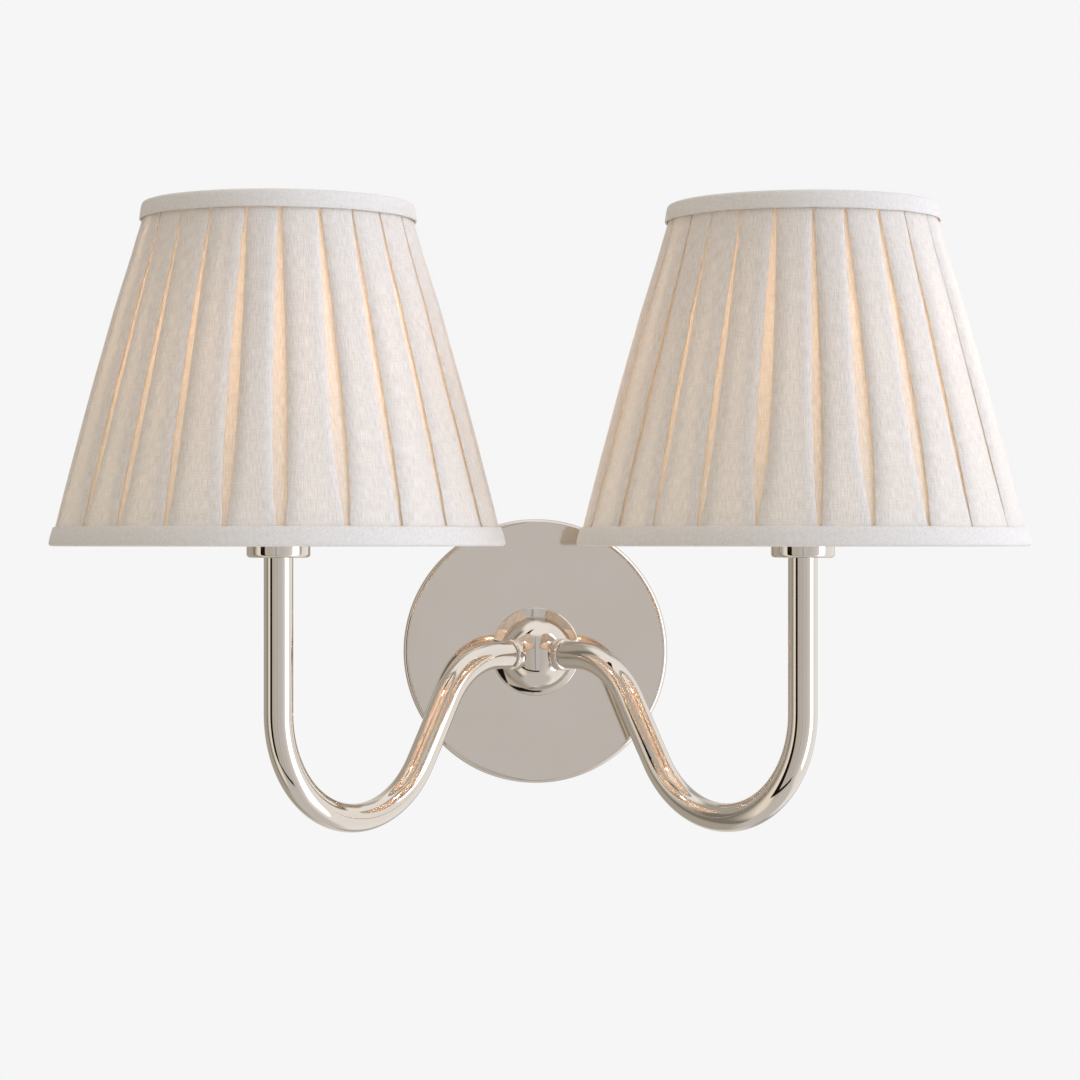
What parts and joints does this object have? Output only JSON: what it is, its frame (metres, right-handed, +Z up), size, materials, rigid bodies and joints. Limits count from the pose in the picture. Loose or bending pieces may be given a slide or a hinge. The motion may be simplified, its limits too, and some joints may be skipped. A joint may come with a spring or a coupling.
{
  "type": "double arm wall light",
  "caption": "Double wall light: round polished nickel backplate, domed hub, two swan-neck arms and tapered pleated linen shades that turn on their lampholders.",
  "frame": {"origin": "centre of the backplate's back face, on the wall plane, midway between the two wall slots", "axes": "+Z up, +Y into the wall, -Y into the room, +X to the right seen from the room"},
  "size_m": [0.4296, 0.2776, 0.279],
  "materials": {
    "polished_nickel": "polished nickel plate, mirror bright with a warm tone",
    "zinc_plated_steel": "zinc plated pressed steel",
    "brass": "turned brass",
    "terminal_polyamide": "moulded natural polyamide",
    "holder_thermoplastic": "moulded white thermoplastic",
    "cable_sheath": "white PVC sheath",
    "bulb_cap_metal": "nickel plated bulb cap",
    "bulb_insulator": "black vitrified insulator with a soldered tip",
    "bulb_glass": "clear blown glass",
    "filament": "coated filament sticks, lit",
    "pleated_linen": "pleated off-white linen, lit from inside",
    "linen_trim": "folded off-white linen tape",
    "shade_lining": "thin off-white lining",
    "coated_wire": "white coated steel wire"
  },
  "bodies": {
    "fixture": {"backplate": "polished_nickel", "collar_ring": "polished_nickel", "hub": "polished_nickel", "ferrule_left": "polished_nickel", "arm_left": "polished_nickel", "cup_left": "polished_nickel", "ferrule_right": "polished_nickel", "arm_right": "polished_nickel", "cup_right": "polished_nickel", "wall_bracket": "zinc_plated_steel", "side_screws": "zinc_plated_steel", "stud_washer": "zinc_plated_steel", "stud_nut": "zinc_plated_steel", "terminal_screws": "zinc_plated_steel", "earth_screw": "brass", "hub_stud": "brass", "cup_nipple_left": "brass", "screw_shell_left": "brass", "centre_contact_left": "brass", "cup_nipple_right": "brass", "screw_shell_right": "brass", "centre_contact_right": "brass", "terminal_block": "terminal_polyamide", "lampholder_left": "holder_thermoplastic", "shade_ring_left": "holder_thermoplastic", "lampholder_right": "holder_thermoplastic", "shade_ring_right": "holder_thermoplastic", "lamp_cable_left": "cable_sheath", "lamp_cable_right": "cable_sheath"},
    "shade_left": {"shade_carrier_left": "coated_wire", "frame_bottom_ring_left": "coated_wire", "frame_top_ring_left": "coated_wire", "frame_struts_left": "coated_wire", "shade_lining_left": "shade_lining", "pleated_cover_left": "pleated_linen", "top_trim_left": "linen_trim", "bottom_trim_left": "linen_trim"},
    "bulb_left": {"bulb_contact_left": "bulb_insulator", "bulb_cap_left": "bulb_cap_metal", "bulb_glass_left": "bulb_glass", "bulb_stem_left": "bulb_glass", "bulb_filaments_left": "filament"},
    "shade_right": {"shade_carrier_right": "coated_wire", "frame_bottom_ring_right": "coated_wire", "frame_top_ring_right": "coated_wire", "frame_struts_right": "coated_wire", "shade_lining_right": "shade_lining", "pleated_cover_right": "pleated_linen", "top_trim_right": "linen_trim", "bottom_trim_right": "linen_trim"},
    "bulb_right": {"bulb_contact_right": "bulb_insulator", "bulb_cap_right": "bulb_cap_metal", "bulb_glass_right": "bulb_glass", "bulb_stem_right": "bulb_glass", "bulb_filaments_right": "filament"}
  },
  "joints": [
    {"name": "shade_left_turn", "type": "hinge", "parent": "fixture", "child": "shade_left", "pos_m": [-0.115, -0.17772, 0.071], "axis": [0, 0, 1], "continuous": true},
    {"name": "shade_right_turn", "type": "hinge", "parent": "fixture", "child": "shade_right", "pos_m": [0.115, -0.17772, 0.071], "axis": [0, 0, 1], "continuous": true},
    {"name": "bulb_left_unscrew", "type": "slide", "parent": "fixture", "child": "bulb_left", "axis": [0, 0, 1], "range_m": [0, 0.018]},
    {"name": "bulb_right_unscrew", "type": "slide", "parent": "fixture", "child": "bulb_right", "axis": [0, 0, 1], "range_m": [0, 0.018]}
  ]
}
